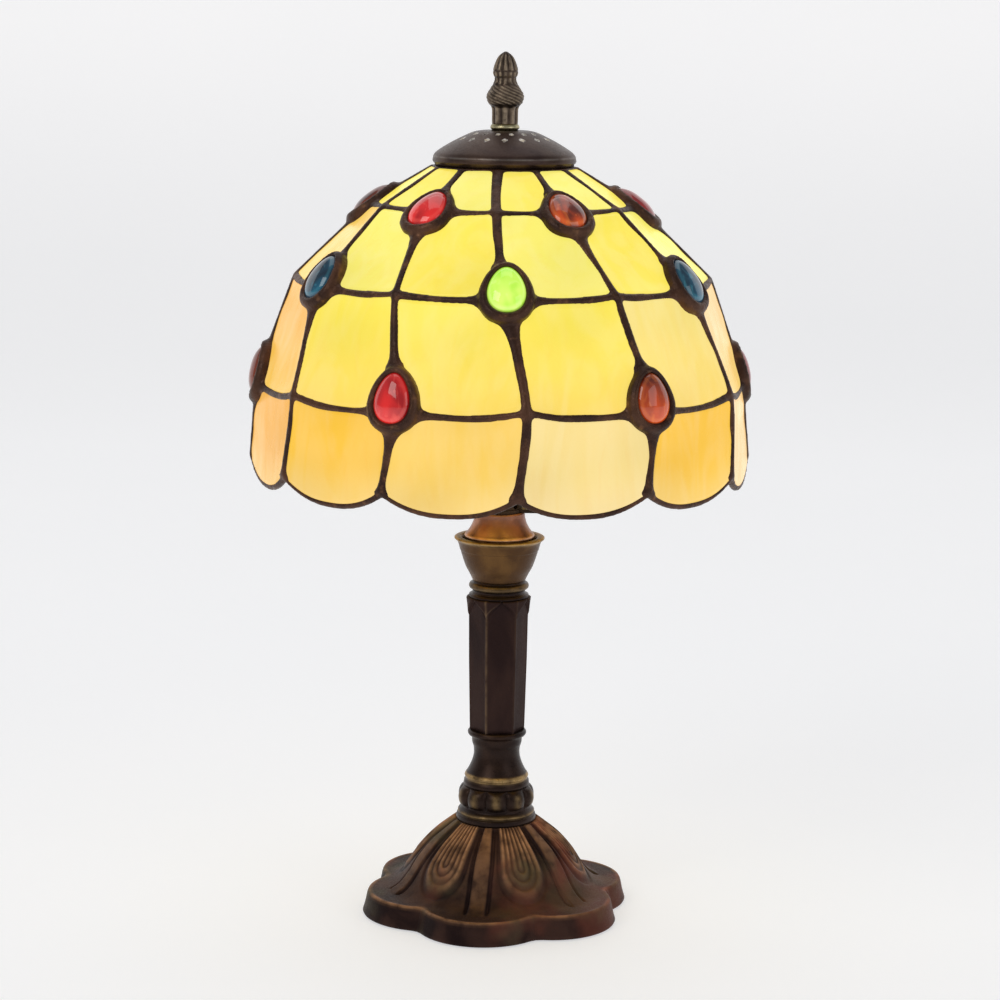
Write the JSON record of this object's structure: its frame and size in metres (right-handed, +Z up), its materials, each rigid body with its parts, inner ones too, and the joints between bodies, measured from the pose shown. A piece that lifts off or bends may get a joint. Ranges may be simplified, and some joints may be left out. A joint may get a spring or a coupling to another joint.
{
  "type": "stained glass table lamp",
  "caption": "Table lamp with a twelve-sided stained glass dome shade set with glass jewels, on a harp and a cast bronze-finished column with a lobed base.",
  "frame": {"origin": "centre of the face of the foot pad, on the surface that the lamp stands on", "axes": "+Z up along the column and the shade's axis, -Y towards the front, +X to the right seen from the front"},
  "size_m": [0.203, 0.2026, 0.3524],
  "materials": {
    "felt": "matt felt",
    "zinc_steel": "zinc plated",
    "antique_bronze": "antique bronze over a zinc casting, satin",
    "black_plastic": "matt",
    "copper_husk": "antique copper, satin",
    "cap_bronze": "dark bronze patina, satin",
    "brass": "aged brass",
    "paper_liner": "pressed paper",
    "phenolic": "moulded phenolic",
    "bulb_metal": "bright",
    "bulb_glass": "frosted, lit",
    "glass_yellow": "opal art glass, wispy, lit from inside",
    "glass_amber": "opal art glass, wispy, lit from inside",
    "patina_solder": "solder beads with a dark copper patina",
    "jewel_red": "cast glass jewel",
    "jewel_amber": "cast glass jewel",
    "jewel_green": "cast glass jewel",
    "jewel_blue": "cast glass jewel"
  },
  "bodies": {
    "root": {"foot_pad": "felt", "base_cover": "zinc_steel", "base_casting": "antique_bronze", "base_washer": "zinc_steel", "base_nut": "zinc_steel", "cord_bushing": "black_plastic", "centre_tube": "zinc_steel", "gadroon_ring": "antique_bronze", "neck": "antique_bronze", "column": "antique_bronze", "column_head": "antique_bronze", "cup": "antique_bronze", "cup_spacer": "zinc_steel", "husk": "copper_husk", "saddle": "brass", "socket_cap": "brass", "socket_shell": "brass", "socket_liner": "paper_liner", "socket_core": "phenolic", "screw_shell": "bulb_metal", "centre_contact": "brass"},
    "switch": {"switch_key": "phenolic"},
    "bulb": {"bulb_base": "bulb_metal", "bulb_globe": "bulb_glass"},
    "harp": {"harp_frame": "brass", "harp_stud": "brass"},
    "ferrule_left": {"ferrule_left": "brass"},
    "ferrule_right": {"ferrule_right": "brass"},
    "seat": {"seat_washer": "zinc_steel"},
    "shade": {"spider": "brass", "vented_cap": "cap_bronze", "glass_crown": "glass_yellow", "glass_shoulder": "glass_yellow", "glass_body": "glass_yellow", "glass_skirt": "glass_amber", "solder_seams": "patina_solder", "jewels_upper_red": "jewel_red", "jewels_upper_amber": "jewel_amber", "jewels_middle_green": "jewel_green", "jewels_middle_blue": "jewel_blue", "jewels_lower_red": "jewel_red", "jewels_lower_amber": "jewel_amber"},
    "finial_seat": {"finial_washer": "brass"},
    "finial": {"finial_insert": "brass", "finial": "antique_bronze"}
  },
  "joints": [
    {"name": "switch_turn", "type": "hinge", "parent": "root", "child": "switch", "pos_m": [0, -0.025, 0.19], "axis": [0, -1, 0], "continuous": true},
    {"name": "bulb_out", "type": "slide", "parent": "root", "child": "bulb", "axis": [0, 0, 1], "range_m": [0, 0.024]},
    {"name": "harp_lift", "type": "slide", "parent": "root", "child": "harp", "axis": [0, 0, 1], "range_m": [0, 0.03]},
    {"name": "ferrule_left_slide", "type": "slide", "parent": "harp", "child": "ferrule_left", "axis": [0, 0, 1], "range_m": [0, 0.012]},
    {"name": "ferrule_right_slide", "type": "slide", "parent": "harp", "child": "ferrule_right", "axis": [0, 0, 1], "range_m": [0, 0.012]},
    {"name": "shade_turn", "type": "hinge", "parent": "harp", "child": "seat", "pos_m": [0, 0, 0.318], "axis": [0, 0, 1], "continuous": true},
    {"name": "shade_lift", "type": "slide", "parent": "seat", "child": "shade", "axis": [0, 0, 1], "range_m": [0, 0.15]},
    {"name": "finial_rise", "type": "slide", "parent": "shade", "child": "finial_seat", "axis": [0, 0, 1], "range_m": [0, 0.0095]},
    {"name": "finial_turn", "type": "hinge", "parent": "finial_seat", "child": "finial", "pos_m": [0, 0, 0.33], "axis": [0, 0, 1], "range_deg": [0, 3600]}
  ],
  "couplings": [
    {"joint": "finial_rise", "follows": "finial_turn", "m_per_rad": 0.00014961}
  ]
}
